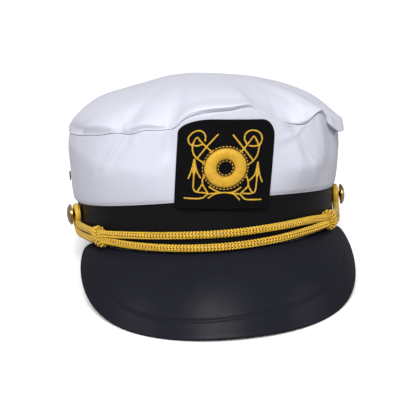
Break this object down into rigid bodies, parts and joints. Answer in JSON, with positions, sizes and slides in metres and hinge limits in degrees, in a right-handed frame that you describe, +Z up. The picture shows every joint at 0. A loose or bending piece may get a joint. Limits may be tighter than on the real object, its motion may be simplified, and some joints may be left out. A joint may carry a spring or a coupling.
{
  "type": "sailor cap",
  "caption": "Soft-topped sailor cap with a stiff head band, a moulded peak, a corded front held by knots and side buttons, and an embroidered front badge.",
  "frame": {"origin": "on the surface the cap rests on, under the middle of its length and width", "axes": "+Z up from the surface, -Y towards the front of the peak, +X towards the right of the picture"},
  "size_m": [0.1918, 0.2512, 0.1338],
  "materials": {
    "crown_satin": "white polyester satin with a soft sheen",
    "band_leatherette": "smooth black leatherette, satin gloss",
    "peak_plastic": "moulded black plastic, soft gloss",
    "gold_cord": "knitted gold cord",
    "badge_felt": "black felt",
    "gold_thread": "gold satin stitch",
    "button_brass": "pressed brass, worn polish",
    "eyelet_metal": "dull plated brass"
  },
  "bodies": {
    "root": {"crown_side": "crown_satin", "crown_top": "crown_satin", "band": "band_leatherette", "peak": "peak_plastic", "chin_cord": "gold_cord", "knot_left": "gold_cord", "knot_right": "gold_cord", "badge_patch": "badge_felt", "badge_ring": "gold_thread", "button_left": "button_brass", "button_right": "button_brass", "eyelet_left": "eyelet_metal", "eyelet_right": "eyelet_metal"}
  },
  "joints": []
}
